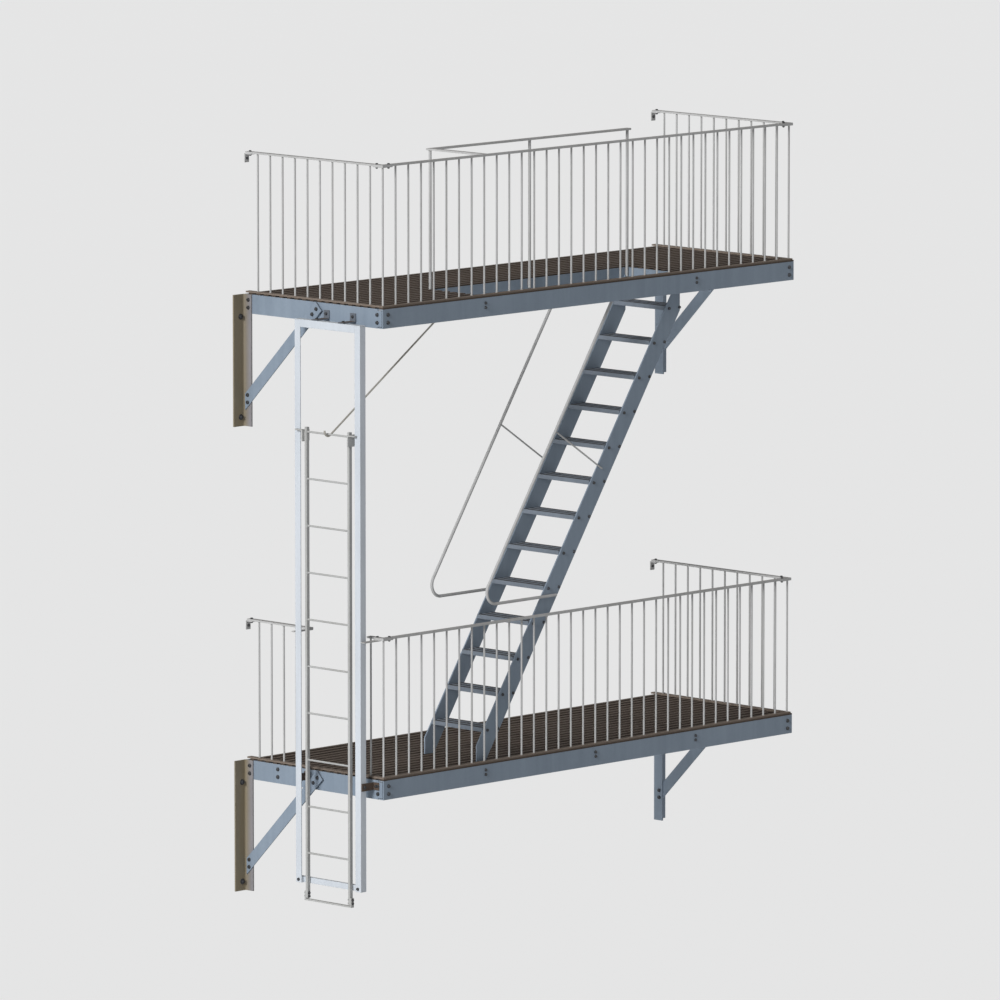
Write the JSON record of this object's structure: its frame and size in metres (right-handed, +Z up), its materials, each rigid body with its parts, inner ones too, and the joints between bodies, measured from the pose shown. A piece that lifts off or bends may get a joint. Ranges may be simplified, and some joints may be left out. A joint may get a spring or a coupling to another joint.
{
  "type": "fire escape stair",
  "caption": "Wall-mounted steel fire escape: slatted balconies on bolted brackets, bar railings, a steep stair between them and a drop ladder in a hanging guide frame.",
  "frame": {"origin": "centre of the back face of the lower left wall post", "axes": "+Z up, +Y into the wall, +X to the right along the wall"},
  "size_m": [4.1121, 1.27, 4.8325],
  "materials": {
    "beam_paint": "satin",
    "slat_paint": "satin",
    "rail_paint": "satin",
    "guide_paint": "satin",
    "hook_steel": "satin"
  },
  "bodies": {
    "root": {"lower_left_post": "beam_paint", "lower_right_post": "beam_paint", "upper_left_post": "beam_paint", "upper_right_post": "beam_paint", "lower_braces": "beam_paint", "upper_braces": "beam_paint", "lower_front_channel": "beam_paint", "upper_front_channel": "beam_paint", "lower_end_beams": "beam_paint", "upper_end_beams": "beam_paint", "lower_rear_beam": "beam_paint", "upper_rear_beam": "beam_paint", "lower_joists": "beam_paint", "upper_joists": "beam_paint", "lower_cleats": "beam_paint", "upper_cleats": "beam_paint", "well_back_trimmer": "beam_paint", "well_end_trimmer": "beam_paint", "stair_front_stringer": "beam_paint", "stair_back_stringer": "beam_paint", "guide_clips": "beam_paint", "hook_bracket": "beam_paint", "lower_slats": "slat_paint", "upper_slats": "slat_paint", "stair_treads": "slat_paint", "lower_front_guard": "rail_paint", "lower_right_guard": "rail_paint", "lower_left_sole": "rail_paint", "lower_left_guard_rear": "rail_paint", "lower_left_guard_front": "rail_paint", "upper_front_guard": "rail_paint", "upper_right_guard": "rail_paint", "upper_left_guard": "rail_paint", "lower_rail_fittings": "rail_paint", "upper_rail_fittings": "rail_paint", "well_guard": "rail_paint", "stair_front_handrail": "rail_paint", "stair_back_handrail": "rail_paint", "guide_straps": "rail_paint", "guide_left_stile": "guide_paint", "guide_right_stile": "guide_paint", "guide_head": "guide_paint", "guide_sill": "guide_paint"},
    "drop_ladder": {"ladder_stiles": "guide_paint", "ladder_rungs": "guide_paint", "ladder_stirrup": "guide_paint", "ladder_shoes": "guide_paint"},
    "hook": {"hook_rod": "hook_steel"}
  },
  "joints": [
    {"name": "ladder_drop", "type": "slide", "parent": "root", "child": "drop_ladder", "axis": [0, 0, -1], "range_m": [0, 2.839]},
    {"name": "hook_swing", "type": "hinge", "parent": "root", "child": "hook", "pos_m": [1.01275, -0.884, 3.366], "axis": [0, -1, 0], "range_deg": [0, 56]}
  ]
}
